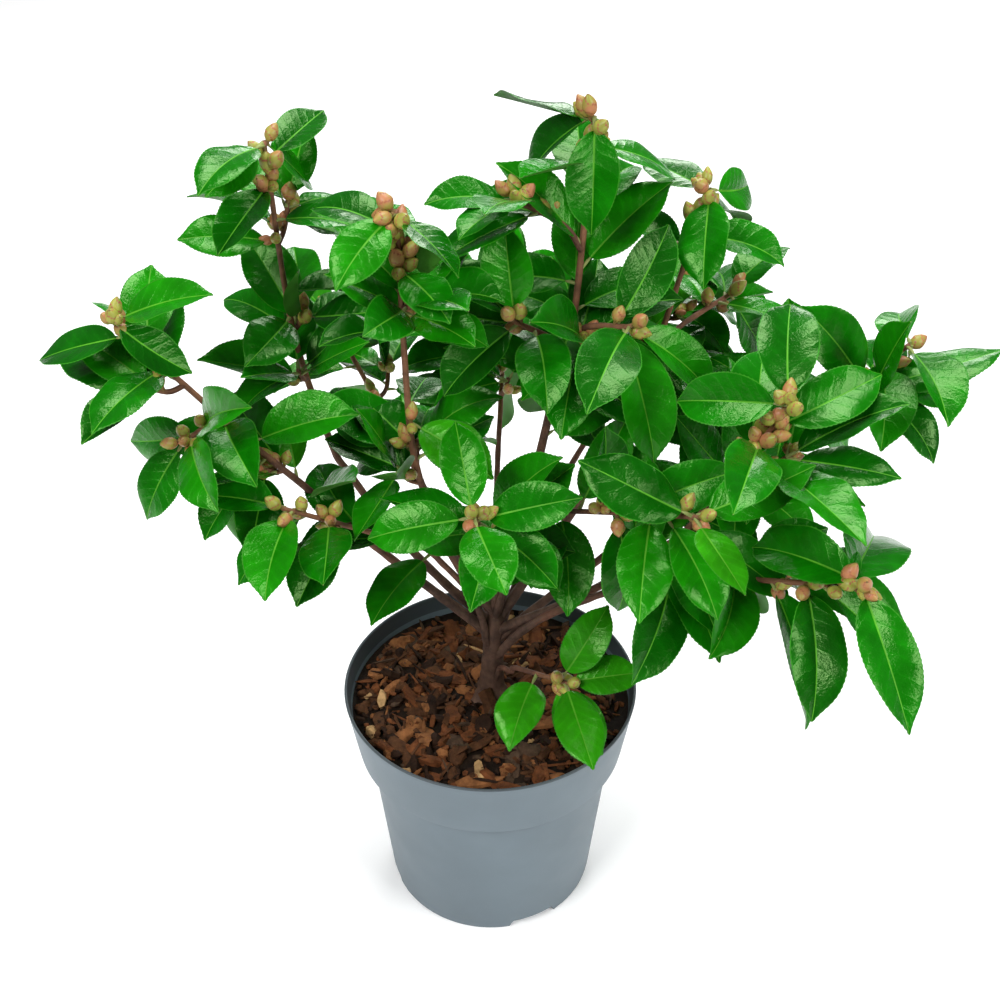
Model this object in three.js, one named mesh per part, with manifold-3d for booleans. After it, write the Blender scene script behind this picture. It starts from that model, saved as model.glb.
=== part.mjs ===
// A young camellia shrub in a round nursery pot, 150 mm across the rim.
// Units are millimetres, +Z is up, +Y points away from the shrub's face side.
// The origin is the centre of the pot's flat underside.
import * as THREE from "three";
import { mergeVertices } from "three/addons/utils/BufferGeometryUtils.js";
import Module from "manifold-3d";

const wasm = await Module();
wasm.setup();

// ---- Driving dimensions -------------------------------------------------

const GAP = 0.3; // clear space between neighbouring solids

const POT = {
  height: 130,
  rimRadius: 75, // outside, at the lip
  bandHeight: 36, // the stiffening band under the lip
  bandFootRadius: 69.5, // outside, at the band's lower edge
  bodyRadius: 64, // outside, just under the band
  baseRadius: 55, // outside, at the underside
  wall: 1.6,
  floor: 2.4,
  sides: 40,
};

const DRAIN = { count: 3, width: 26, height: 5, depth: 9, firstHeading: 296 };

const SOIL = {
  level: 117, // at the wall
  crown: 120, // on the flat where the stem stands
  flatRadius: 16,
};

const TRUNK = {
  height: 52, // from the flat cut on the soil to the fork
  footRadius: 10.5,
  radius: 6.2,
  forkRadius: 5,
  flareHeight: 12,
  lean: new THREE.Vector2(3, 4), // how far the fork stands off the pot's axis
};

const LIMB = { sides: 7, tipShare: 0.45, ringSpacing: 20 };

// Every bough has one axis, a single bow. It leaves the trunk at `at`, a share of the
// trunk's height, and ends `reach` out along `heading` (degrees from +X towards +Y)
// and `rise` higher. `arch` lifts the middle of the bow off its chord, or, where it is
// negative, lets the bough spread first and stand up later. `wood` is the share of the
// axis that shows as a bare, tapering bough before it enters its leaves.
const BOUGHS = [
  { name: "far_left", at: 0.72, heading: 190, reach: 164, rise: 214, arch: -12, radius: 3.5, wood: 0.5 },
  { name: "upper_left", at: 0.86, heading: 164, reach: 95, rise: 246, arch: -84, radius: 3.3, wood: 0.44 },
  { name: "left_centre", at: 0.97, heading: 215, reach: 42, rise: 232, arch: -45, radius: 3.0, wood: 0.36 },
  { name: "lower_left", at: 0.5, heading: 210, reach: 105, rise: 134, arch: 44, radius: 3.0, wood: 0.48 },
  { name: "leader", at: 1.0, heading: 15, reach: 43, rise: 256, arch: -12, radius: 4.0, wood: 0.5 },
  { name: "upper_right", at: 0.9, heading: 18, reach: 99, rise: 214, arch: -26, radius: 3.6, wood: 0.52 },
  { name: "right", at: 0.8, heading: 332, reach: 136, rise: 176, arch: -30, radius: 3.3, wood: 0.5 },
  { name: "far_right", at: 0.66, heading: 359, reach: 178, rise: 170, arch: 8, radius: 3.4, wood: 0.56 },
  { name: "lower_right", at: 0.45, heading: 327, reach: 180, rise: 135, arch: 42, radius: 3.5, wood: 0.46 },
  { name: "right_centre", at: 0.92, heading: 316, reach: 120, rise: 135, arch: 58, radius: 2.8, wood: 0.5 },
  { name: "front_low", at: 0.2, heading: 306, reach: 62, rise: 38, arch: 18, radius: 2.3, wood: 0.4 },
  { name: "front", at: 0.95, heading: 262, reach: 76, rise: 120, arch: 34, radius: 2.8, wood: 0.5 },
  { name: "back_left", at: 0.6, heading: 134, reach: 136, rise: 150, arch: 26, radius: 3.2, wood: 0.5 },
  { name: "back", at: 0.7, heading: 88, reach: 122, rise: 136, arch: 30, radius: 3.0, wood: 0.48 },
  { name: "back_right", at: 0.62, heading: 46, reach: 140, rise: 160, arch: 24, radius: 3.2, wood: 0.5 },
];

// A side shoot's axis is given like a bough's, but it leaves the bough that `from` names,
// and all of it is inside its leaves.
const SIDE_SHOOTS = [
  { name: "far_left_low", from: "far_left", at: 0.62, heading: 214, reach: 34, rise: 20, arch: 8 },
  { name: "leader_left", from: "leader", at: 0.74, heading: 198, reach: 34, rise: 34, arch: 4 },
  { name: "leader_front", from: "leader", at: 0.58, heading: 226, reach: 34, rise: 36, arch: 0 },
  { name: "leader_right", from: "leader", at: 0.6, heading: 318, reach: 36, rise: 26, arch: 0 },
  { name: "upper_right_out", from: "upper_right", at: 0.68, heading: 34, reach: 50, rise: 18, arch: 6 },
  { name: "right_low", from: "right", at: 0.6, heading: 326, reach: 36, rise: 0, arch: 8 },
  { name: "far_right_back", from: "far_right", at: 0.66, heading: 50, reach: 44, rise: 26, arch: 4 },
  { name: "back_up", from: "back", at: 0.55, heading: 104, reach: 44, rise: 74, arch: -8 },
];

// Each mass of leaves wraps its limb from share `from` to share `to` of the axis. It
// stands `over` millimetres past the tip end, half as much past the root end, and is
// `girth` across. `drop` lowers it, where its leaves hang.
const MASSES = [
  { name: "far_left_tip", limb: "far_left", from: 0.84, to: 1.0, over: 34, girth: 70, drop: 12 },
  { name: "far_left_inner", limb: "far_left", from: 0.56, to: 0.72, over: 20, girth: 72, drop: 4 },
  { name: "far_left_low", limb: "far_left_low", from: 0.4, to: 1.0, over: 24, girth: 62, drop: 4 },
  { name: "upper_left_tip", limb: "upper_left", from: 0.84, to: 1.0, over: 22, girth: 84, drop: 0 },
  { name: "upper_left_inner", limb: "upper_left", from: 0.56, to: 0.74, over: 18, girth: 82, drop: 0 },
  { name: "left_centre_tip", limb: "left_centre", from: 0.78, to: 0.96, over: 20, girth: 72, drop: 0 },
  { name: "left_centre_inner", limb: "left_centre", from: 0.44, to: 0.62, over: 18, girth: 76, drop: 0 },
  { name: "lower_left_tip", limb: "lower_left", from: 0.8, to: 1.0, over: 30, girth: 66, drop: 6 },
  { name: "lower_left_inner", limb: "lower_left", from: 0.5, to: 0.64, over: 20, girth: 72, drop: 2 },
  { name: "leader_tip", limb: "leader", from: 0.84, to: 0.98, over: 20, girth: 66, drop: 0 },
  { name: "leader_inner", limb: "leader", from: 0.56, to: 0.7, over: 18, girth: 80, drop: 0 },
  { name: "leader_left", limb: "leader_left", from: 0.5, to: 1.0, over: 24, girth: 50, drop: 4 },
  { name: "leader_front", limb: "leader_front", from: 0.5, to: 1.0, over: 24, girth: 62, drop: 4 },
  { name: "leader_right", limb: "leader_right", from: 0.5, to: 1.0, over: 26, girth: 68, drop: 0 },
  { name: "upper_right_tip", limb: "upper_right", from: 0.86, to: 1.0, over: 26, girth: 76, drop: 0 },
  { name: "upper_right_inner", limb: "upper_right", from: 0.58, to: 0.7, over: 20, girth: 84, drop: 0 },
  { name: "upper_right_out", limb: "upper_right_out", from: 0.5, to: 1.0, over: 24, girth: 70, drop: 0 },
  { name: "right_tip", limb: "right", from: 0.82, to: 1.0, over: 26, girth: 88, drop: 0 },
  { name: "right_inner", limb: "right", from: 0.54, to: 0.66, over: 18, girth: 76, drop: 0 },
  { name: "right_low", limb: "right_low", from: 0.6, to: 1.0, over: 24, girth: 62, drop: 8 },
  { name: "far_right_tip", limb: "far_right", from: 0.92, to: 1.0, over: 38, girth: 80, drop: 0 },
  { name: "far_right_inner", limb: "far_right", from: 0.6, to: 0.76, over: 16, girth: 70, drop: 0 },
  { name: "far_right_back", limb: "far_right_back", from: 0.4, to: 1.0, over: 22, girth: 66, drop: 0 },
  { name: "lower_right_tip", limb: "lower_right", from: 0.86, to: 1.0, over: 40, girth: 84, drop: 20 },
  { name: "lower_right_inner", limb: "lower_right", from: 0.52, to: 0.7, over: 18, girth: 72, drop: 12 },
  { name: "right_centre", limb: "right_centre", from: 0.66, to: 1.0, over: 24, girth: 72, drop: 10 },
  { name: "front_low", limb: "front_low", from: 0.7, to: 1.0, over: 36, girth: 60, drop: -2 },
  { name: "front", limb: "front", from: 0.66, to: 1.0, over: 24, girth: 76, drop: 0 },
  { name: "back_left", limb: "back_left", from: 0.66, to: 1.0, over: 22, girth: 84, drop: 0 },
  { name: "back", limb: "back", from: 0.66, to: 1.0, over: 22, girth: 80, drop: 0 },
  { name: "back_up", limb: "back_up", from: 0.5, to: 1.0, over: 24, girth: 74, drop: 0 },
  { name: "back_right", limb: "back_right", from: 0.66, to: 1.0, over: 24, girth: 84, drop: 0 },
];

const BUMPS = { detail: 1, height: 0.16, waves: 6, blunt: 0.16 };

// ---- Looks --------------------------------------------------------------

const standard = (color, roughness) =>
  new THREE.MeshStandardMaterial({ color, roughness, metalness: 0 });

const MATERIAL = {
  pot: standard(0x7f8a90, 0.5),
  soil: standard(0x3a2218, 0.95),
  bark: standard(0x6b4236, 0.8),
  leaf: standard(0x1c6b1e, 0.35),
};

// ---- Solids -------------------------------------------------------------

// A closed geometry as a manifold-3d solid.
function solidOf(geometry) {
  const bare = geometry.clone();
  bare.deleteAttribute("normal");
  bare.deleteAttribute("uv");
  const merged = mergeVertices(bare, 1e-3);
  return new wasm.Manifold(
    new wasm.Mesh({
      numProp: 3,
      vertProperties: merged.attributes.position.array,
      triVerts: new Uint32Array(merged.index.array),
    }),
  );
}

// The largest body of a solid, as a geometry.
function geometryOf(solid) {
  const largest = solid
    .decompose()
    .reduce((a, b) => (a.volume() > b.volume() ? a : b));
  const { vertProperties, triVerts } = largest.getMesh();
  return new THREE.BufferGeometry()
    .setAttribute("position", new THREE.BufferAttribute(vertProperties, 3))
    .setIndex(new THREE.BufferAttribute(triVerts, 1));
}

// `solid` with room left for each of `others`, which are already grown by the gap.
function cutRound(solid, others) {
  return others.reduce((left, other) => left.subtract(other), solid);
}

const radians = THREE.MathUtils.degToRad;

// ---- Pot and soil -------------------------------------------------------

function lathe(profile, sides) {
  const points = profile.map(([x, z]) => new THREE.Vector2(x, z));
  return new THREE.LatheGeometry(points, sides).rotateX(Math.PI / 2);
}

const { height: potHeight, wall } = POT;
const bandFoot = potHeight - POT.bandHeight;

// The pot's inside radius at height z.
function insideRadius(z) {
  const body = (z / bandFoot) * (POT.bodyRadius - POT.baseRadius) + POT.baseRadius;
  const band =
    ((z - bandFoot) / POT.bandHeight) * (POT.rimRadius - POT.bandFootRadius) +
    POT.bandFootRadius;
  return (z < bandFoot + wall ? body : band) - wall;
}

function potSolid() {
  const shoulder = bandFoot + wall;
  const outside = [
    [0, 0],
    [POT.baseRadius, 0],
    [POT.bodyRadius, bandFoot],
    [POT.bandFootRadius, bandFoot],
    [POT.rimRadius, potHeight],
  ];
  const inside = [
    [insideRadius(potHeight), potHeight],
    [POT.bandFootRadius - wall, shoulder],
    [insideRadius(bandFoot), shoulder],
    [insideRadius(POT.floor), POT.floor],
    [0, POT.floor],
    [0, 0],
  ];
  return solidOf(lathe([...outside, ...inside], POT.sides));
}

// The drainage openings in the corner between the wall and the underside.
function drains() {
  return Array.from({ length: DRAIN.count }, (_, i) => {
    const heading = radians(DRAIN.firstHeading + (360 / DRAIN.count) * i);
    return solidOf(
      new THREE.BoxGeometry(2 * DRAIN.depth, DRAIN.width, 2 * DRAIN.height)
        .translate(POT.baseRadius, 0, 0)
        .rotateZ(heading),
    );
  });
}

function soilSolid() {
  const under = POT.floor + GAP;
  const shoulder = bandFoot + wall + GAP;
  return solidOf(
    lathe(
      [
        [0, under],
        [insideRadius(under) - GAP, under],
        [insideRadius(bandFoot) - GAP, shoulder],
        [POT.bandFootRadius - wall - GAP, shoulder],
        [insideRadius(SOIL.level) - GAP, SOIL.level],
        [SOIL.flatRadius, SOIL.crown],
        [0, SOIL.crown],
        [0, under],
      ],
      POT.sides,
    ),
  );
}

// ---- Trunk and limbs ----------------------------------------------------

// A closed round stem along `axis`, from share 0 to share `end` of its length.
function stem(axis, end, radiusAt, sides, rings) {
  const geometry = new THREE.CylinderGeometry(1, 1, 1, sides, rings);
  const frames = axis.computeFrenetFrames(rings * 4, false);
  const place = geometry.attributes.position;
  for (let i = 0; i < place.count; i++) {
    const share = place.getY(i) + 0.5;
    const t = share * end;
    const f = Math.round(t * rings * 4);
    const r = radiusAt(t);
    const point = axis
      .getPoint(t)
      .addScaledVector(frames.normals[f], -r * place.getX(i))
      .addScaledVector(frames.binormals[f], r * place.getZ(i));
    place.setXYZ(i, point.x, point.y, point.z);
  }
  return geometry;
}

const fork = new THREE.Vector3(
  TRUNK.lean.x,
  TRUNK.lean.y,
  SOIL.crown + GAP + TRUNK.height,
);
const trunkAxis = new THREE.LineCurve3(
  new THREE.Vector3(0, 0, SOIL.crown + GAP),
  fork,
);

function trunkRadius(t, grow) {
  const flare = Math.max(0, 1 - (t * TRUNK.height) / TRUNK.flareHeight);
  const shaft = THREE.MathUtils.lerp(TRUNK.radius, TRUNK.forkRadius, t);
  return shaft + (TRUNK.footRadius - TRUNK.radius) * flare ** 2 + grow;
}

// The trunk is upright enough to keep its rings level, so its foot is a flat cut.
function trunkSolid(grow = 0) {
  const geometry = new THREE.CylinderGeometry(1, 1, 1, 12, 9).rotateX(Math.PI / 2);
  const place = geometry.attributes.position;
  for (let i = 0; i < place.count; i++) {
    const t = place.getZ(i) + 0.5;
    const centre = trunkAxis.getPoint(t);
    const r = trunkRadius(t, grow);
    const end = t === 1 ? grow : 0;
    place.setXYZ(
      i,
      centre.x + r * place.getX(i),
      centre.y + r * place.getY(i),
      centre.z + end,
    );
  }
  return solidOf(geometry);
}

// The axis of each limb, by name, worked out from the axis that it leaves.
const axes = new Map([["trunk", trunkAxis]]);
for (const limb of [...BOUGHS, ...SIDE_SHOOTS]) {
  const start = axes.get(limb.from ?? "trunk").getPoint(limb.at);
  const out = new THREE.Vector3(1, 0, 0).applyAxisAngle(
    new THREE.Vector3(0, 0, 1),
    radians(limb.heading),
  );
  const chord = out.clone().multiplyScalar(limb.reach).setZ(limb.rise);
  const up = new THREE.Vector3(0, 0, 1)
    .projectOnPlane(chord.clone().normalize())
    .normalize();
  const middle = start
    .clone()
    .addScaledVector(chord, 0.5)
    .addScaledVector(up, limb.arch);
  const tip = start.clone().add(chord);
  axes.set(limb.name, new THREE.QuadraticBezierCurve3(start, middle, tip));
}

function limbSolid(limb, grow = 0) {
  const axis = axes.get(limb.name);
  const radiusAt = (t) =>
    limb.radius * THREE.MathUtils.lerp(1, LIMB.tipShare, t) + grow;
  const end = limb.wood + grow / axis.getLength();
  const rings = Math.max(3, Math.round((axis.getLength() * end) / LIMB.ringSpacing));
  return solidOf(stem(axis, end, radiusAt, LIMB.sides, rings));
}

// ---- Masses of leaves ---------------------------------------------------

// A repeatable number from 0 to 1 for a mass and a wave.
function chance(seed, k) {
  const x = Math.sin(seed * 127.1 + k * 311.7) * 43758.5453;
  return x - Math.floor(x);
}

// A few long waves over the unit sphere, in random directions, from -1 to 1.
function unevenness(seed) {
  const waves = Array.from({ length: BUMPS.waves }, (_, k) => ({
    way: new THREE.Vector3().setFromSphericalCoords(
      2 + 2.5 * chance(seed, k),
      Math.PI * chance(seed, k + 20),
      2 * Math.PI * chance(seed, k + 40),
    ),
    phase: 2 * Math.PI * chance(seed, k + 60),
  }));
  return (d) =>
    waves.reduce((sum, w) => sum + Math.sin(w.way.dot(d) + w.phase), 0) /
    Math.sqrt(waves.length);
}

// An uneven egg round its limb, with the blunt end towards the root.
function massSolid(mass, seed, grow = 0) {
  const axis = axes.get(mass.limb);
  const root = axis.getPoint(mass.from);
  const along = axis.getPoint(mass.to).sub(root);
  const rootOver = mass.over / 2;
  const half = (along.length() + mass.over + rootOver) / 2;
  along.normalize();
  const centre = root.clone().addScaledVector(along, half - rootOver);
  centre.z -= mass.drop;
  const bump = unevenness(seed);
  const geometry = new THREE.IcosahedronGeometry(1, BUMPS.detail);
  const place = geometry.attributes.position;
  const d = new THREE.Vector3();
  for (let i = 0; i < place.count; i++) {
    d.fromBufferAttribute(place, i);
    const uneven = 1 + BUMPS.height * bump(d);
    const forward = d.dot(along);
    const aside = d.clone().addScaledVector(along, -forward);
    const radius = (mass.girth / 2) * uneven * (1 - BUMPS.blunt * forward) + grow;
    const point = centre
      .clone()
      .addScaledVector(along, forward * (half * uneven + grow))
      .addScaledVector(aside, radius);
    place.setXYZ(i, point.x, point.y, point.z);
  }
  return solidOf(geometry);
}

// ---- Assembly -----------------------------------------------------------

const camellia = new THREE.Group();

function add(name, solid, material) {
  const mesh = new THREE.Mesh(geometryOf(solid), material);
  mesh.name = name;
  camellia.add(mesh);
}

add("pot", cutRound(potSolid(), drains()), MATERIAL.pot);
add("soil", soilSolid(), MATERIAL.soil);
add("trunk", trunkSolid(), MATERIAL.bark);

// Grown copies of everything placed so far, for the next solids to be cut round.
const placed = [trunkSolid(GAP)];

for (const limb of BOUGHS) {
  add("bough_" + limb.name, cutRound(limbSolid(limb), placed), MATERIAL.bark);
  placed.push(limbSolid(limb, GAP));
}

MASSES.forEach((mass, i) => {
  add("leaves_" + mass.name, cutRound(massSolid(mass, i + 1), placed), MATERIAL.leaf);
  placed.push(massSolid(mass, i + 1, GAP));
});

export default camellia;
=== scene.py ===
import math

import bpy
import numpy as np
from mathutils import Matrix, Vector


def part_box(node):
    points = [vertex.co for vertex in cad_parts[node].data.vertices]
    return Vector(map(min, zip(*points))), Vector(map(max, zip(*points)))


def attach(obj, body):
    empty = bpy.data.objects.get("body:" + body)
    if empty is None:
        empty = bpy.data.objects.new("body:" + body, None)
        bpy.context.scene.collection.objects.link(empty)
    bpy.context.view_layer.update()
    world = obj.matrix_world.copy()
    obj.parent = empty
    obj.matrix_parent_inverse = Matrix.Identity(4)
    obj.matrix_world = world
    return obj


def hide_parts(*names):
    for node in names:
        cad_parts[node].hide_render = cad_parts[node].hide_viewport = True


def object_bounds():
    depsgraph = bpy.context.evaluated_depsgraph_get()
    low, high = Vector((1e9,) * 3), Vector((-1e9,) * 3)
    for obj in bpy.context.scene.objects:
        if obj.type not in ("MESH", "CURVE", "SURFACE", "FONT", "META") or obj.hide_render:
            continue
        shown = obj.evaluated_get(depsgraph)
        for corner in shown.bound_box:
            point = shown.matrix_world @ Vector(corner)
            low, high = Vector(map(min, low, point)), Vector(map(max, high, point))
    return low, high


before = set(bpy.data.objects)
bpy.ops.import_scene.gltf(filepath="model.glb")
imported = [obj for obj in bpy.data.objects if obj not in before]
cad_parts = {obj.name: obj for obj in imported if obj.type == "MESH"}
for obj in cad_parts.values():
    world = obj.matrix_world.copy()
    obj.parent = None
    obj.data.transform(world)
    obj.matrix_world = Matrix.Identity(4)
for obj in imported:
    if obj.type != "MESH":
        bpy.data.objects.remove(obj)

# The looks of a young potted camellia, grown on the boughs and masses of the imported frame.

CAD_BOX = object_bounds()
MM = 0.001
UP = np.array([0.0, 0.0, 1.0])
GOLDEN = math.radians(137.5)  # the turn from one leaf on a stem to the next
LIGHT = np.array([0.0, -0.35, 0.94])  # leaves turn their upper sides this way

# ---- Sizes of the plant's small parts, in metres ---------------------------------------

LEAF = {
    "length": 44 * MM,
    "slimness": 0.262,  # half the width, as a share of the length; less in longer leaves
    "petiole": 5 * MM,
    "petiole_radius": 0.85 * MM,
    "thickness": 0.36 * MM,
    "margin": 0.32 * MM,
    "teeth": 25,
    "tooth": 0.3 * MM,
    "veins": 7.5,
    "quilt": 0.13 * MM,
}
BUD = {"length": 10.8 * MM, "radius": 3.1 * MM}
INTERNODE = 9.5 * MM
ROOM = 5.5 * MM  # leaves nearer to one another than this crowd one another
TRIES = 12  # ways a leaf is tried before the one with most room is kept
TOO_TIGHT = 1.35  # a leaf of a spray that sits worse than this isn't grown
PRESSED_COST, OUTSIDE_COST = 2.2, 3.2  # what counts against a leaf, in the sum of misfit()
END_ON = 0.3  # a leaf that points up to the light more than this shows too little of itself
LEAN_ROOT, LEAN_TIP, LEAN_THROUGH = 80, 66, 74  # degrees from the stem, along a spray
TIP_LEANS = math.radians(28), math.radians(62)  # of the two last leaves at a tip
TIP_SIZE = 0.85
TWIG_START = 0.3  # the share of a side twig that is bare
FULLNESS = 1.1  # leaf area for each unit of a mass's broadest section
OVERHANG = 0.82 * LEAF["length"]  # how far the leaves of a mass reach past its twig
BUD_SPACING = 5 * MM  # between the buds that follow one another at a twig's end
TWIG_TIP_RADIUS = 1.05 * MM
COVER_SPACING = 1.2 * INTERNODE  # between the leaves on a limb below its spray
COVER_LEAN = math.radians(62)

# How each mass of foliage differs from the rest. seed: its own draw of leaves and buds.
# scale: of its leaves. droop: how much they hang. fresh: the share of young bright leaves.
# buds: the chance of buds at a leaf's foot. end: buds in the cluster at the tip. lift: how
# far in mm the twig runs above the middle of the mass. reach: how far in mm it ends beyond
# the usual place. full: how much leaf it bears. cover: leaves on the limb just below it.
PLAIN = {"seed": 0, "scale": 1.0, "droop": 0.12, "fresh": 0.03, "buds": 0.35, "end": 3, "lift": 0,
         "reach": 0, "full": 1.0, "cover": 0}
SPRAYS = {
    "far_left_tip": {"seed": 3, "droop": 0.3, "buds": 0.5, "reach": -14},
    "far_left_inner": {"seed": 5, "cover": 2, "droop": 0.25, "scale": 1.05},
    "far_left_low": {"seed": 2, "droop": 0.1, "scale": 1.05, "end": 2},
    "upper_left_tip": {"seed": 7, "full": 0.6, "scale": 0.84, "buds": 0.6, "end": 6, "lift": 8},
    "upper_left_inner": {"seed": 1, "scale": 0.9, "buds": 0.4},
    "left_centre_tip": {"seed": 4, "scale": 0.8, "buds": 0.8, "end": 6, "lift": 20},
    "left_centre_inner": {"seed": 6, "scale": 0.85, "buds": 0.5},
    "lower_left_tip": {"seed": 9, "droop": 0.4, "buds": 0.5},
    "lower_left_inner": {"seed": 8, "droop": 0.4, "scale": 1.1},
    "leader_tip": {"seed": 10, "cover": 4, "scale": 0.95, "buds": 0.9, "end": 7, "lift": 4},
    "leader_left": {"seed": 11, "scale": 0.9, "buds": 0.6, "lift": 8},
    "leader_front": {"seed": 12, "full": 1.4, "scale": 1.05, "buds": 0.5},
    "leader_right": {"seed": 14, "full": 1.6, "scale": 1.2},
    "upper_right_tip": {"seed": 13, "buds": 0.9, "end": 6, "lift": 6},
    "right_tip": {"seed": 16, "scale": 1.2, "buds": 0.6, "end": 6, "lift": 6},
    "right_inner": {"cover": 3, "scale": 1.15, "full": 1.5},
    "leader_inner": {"cover": 4, "full": 1.9, "droop": 0.35},
    "upper_right_inner": {"cover": 4, "full": 1.9},
    "upper_right_out": {"full": 1.5},
    "far_right_inner": {"cover": 4, "full": 1.4},
    "back": {"full": 1.9, "droop": 0.3},
    "back_up": {"full": 1.5},
    "back_right": {"cover": 2, "full": 1.6},
    "back_left": {"full": 0.7},
    "far_right_tip": {"seed": 17, "scale": 1.05, "buds": 0.6, "end": 4},
    "lower_right_tip": {"seed": 18, "scale": 1.3, "droop": 0.5, "buds": 0.7, "end": 5, "lift": 20,
                        "reach": -6},
    "lower_right_inner": {"seed": 19, "full": 0.8, "scale": 1.1, "droop": 0.2, "lift": 14},
    "right_low": {"seed": 20, "droop": 0.4, "buds": 0.7},
    "right_centre": {"seed": 21, "cover": 4, "full": 2.0, "scale": 1.1, "droop": 0.45},
    "front_low": {"seed": 22, "full": 0.3, "droop": 0.3, "fresh": 0.85, "buds": 0.3},
    "front": {"seed": 23, "full": 1.4, "droop": 0.3},
}

# ---- Colours, linear -------------------------------------------------------------------

BLADES = {
    "leaf_deep": (0.003, 0.130, 0.001),
    "leaf_mid": (0.006, 0.170, 0.001),
    "leaf_dark": (0.002, 0.084, 0.001),
    "leaf_fresh": (0.022, 0.235, 0.003),
}
GLOSS_TINT = (0.58, 1.0, 0.36, 1.0)  # the wax takes a little of the green under it
OTHER_LEAF = {
    "leaf_midrib": (0.075, 0.31, 0.015),
    "leaf_margin": (0.022, 0.19, 0.005),
    "leaf_underside": (0.050, 0.20, 0.020),
    "leaf_petiole": (0.22, 0.26, 0.08),
}
BARKS = {  # with how much darker and lighter its patches are
    "bark_old": ((0.085, 0.045, 0.030), 0.5, 1.5),
    "bark_brown": ((0.115, 0.050, 0.030), 0.6, 1.4),
    "bark_young": ((0.17, 0.075, 0.038), 0.6, 1.4),
}
BUD_PARTS = {  # with its roughness, and the colour that it blushes to
    "bud_scale": ((0.30, 0.30, 0.050), 0.38),
    "bud_edge": ((0.34, 0.12, 0.055), 0.45),
    "bud_base": ((0.16, 0.10, 0.03), 0.6),
    "bud_blush": ((0.28, 0.27, 0.045), 0.38, (0.42, 0.17, 0.075)),
}
CHIP_COLORS = {  # with the share of the chips that has it
    "chip_brown": ((0.066, 0.026, 0.010), 0.31),
    "chip_red": ((0.118, 0.038, 0.012), 0.26),
    "chip_dark": ((0.022, 0.009, 0.004), 0.23),
    "chip_grey": ((0.060, 0.034, 0.020), 0.08),
    "chip_rust": ((0.20, 0.078, 0.027), 0.10),
    "chip_tan": ((0.42, 0.25, 0.11), 0.02),
}

PAST_BOX = 12 * MM  # how far a leaf may stand out of the CAD box
LIMITS = np.array(CAD_BOX[0]) - PAST_BOX, np.array(CAD_BOX[1]) + PAST_BOX

# ---- Small mathematics -----------------------------------------------------------------


def unit(v):
    return v / np.maximum(np.linalg.norm(v, axis=-1, keepdims=True), 1e-12)


def across(v, axis):
    """The part of v at right angles to axis, as a unit vector."""
    return unit(v - axis * np.dot(v, axis))


def round_turn(count):
    """count angles spread evenly over a full turn."""
    return np.arange(count) / count * 2 * math.pi


def smooth_line(points, step):
    """A Catmull-Rom curve through points, sampled about every step."""
    points = np.asarray(points, float)
    before = 2 * points[:1] - points[1:2]
    after = 2 * points[-1:] - points[-2:-1]
    p = np.vstack([before, points, after])
    runs = []
    for a, b, c, d in zip(p, p[1:], p[2:], p[3:]):
        count = max(2, int(np.linalg.norm(c - b) / step))
        t = np.linspace(0, 1, count, endpoint=False)[:, None]
        cubic = 3 * b - a - 3 * c + d
        runs.append(0.5 * (2 * b + (c - a) * t + (2 * a - 5 * b + 4 * c - d) * t**2 + cubic * t**3))
    return np.vstack(runs + [points[-1:]])


def ripple(x, seed, waves=5):
    """A repeatable uneven number, about -1 to 1, that runs smoothly with x."""
    draw = np.random.default_rng(seed)
    total = 0.0
    for _ in range(waves):
        total = total + np.sin(x * draw.uniform(0.5, 2.2) + draw.uniform(0, 2 * math.pi))
    return total / math.sqrt(waves)


class Stem:
    """A limb or twig: a line with a radius that tapers along it."""

    def __init__(self, points, root_radius, tip_radius, power=1.0):
        self.line = smooth_line(points, 2.5 * MM)
        steps = np.linalg.norm(np.diff(self.line, axis=0), axis=1)
        self.arc = np.concatenate([[0], np.cumsum(steps)])
        self.length = self.arc[-1]
        self.radii = root_radius, tip_radius
        self.power = power

    def at(self, s):
        return np.stack([np.interp(s, self.arc, self.line[:, k]) for k in range(3)], -1)

    def tangent(self, s):
        return unit(self.at(s + 2 * MM) - self.at(s - 2 * MM))

    def radius(self, s):
        root, tip = self.radii
        return root + (tip - root) * np.clip(s / self.length, 0, 1) ** self.power

    def nearest(self, point):
        return self.arc[np.argmin(np.linalg.norm(self.line - point, axis=1))]


# ---- Joined meshes ---------------------------------------------------------------------


def new_object(name, data):
    made = bpy.data.objects.new(name, data)
    bpy.context.scene.collection.objects.link(made)
    return made


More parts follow.
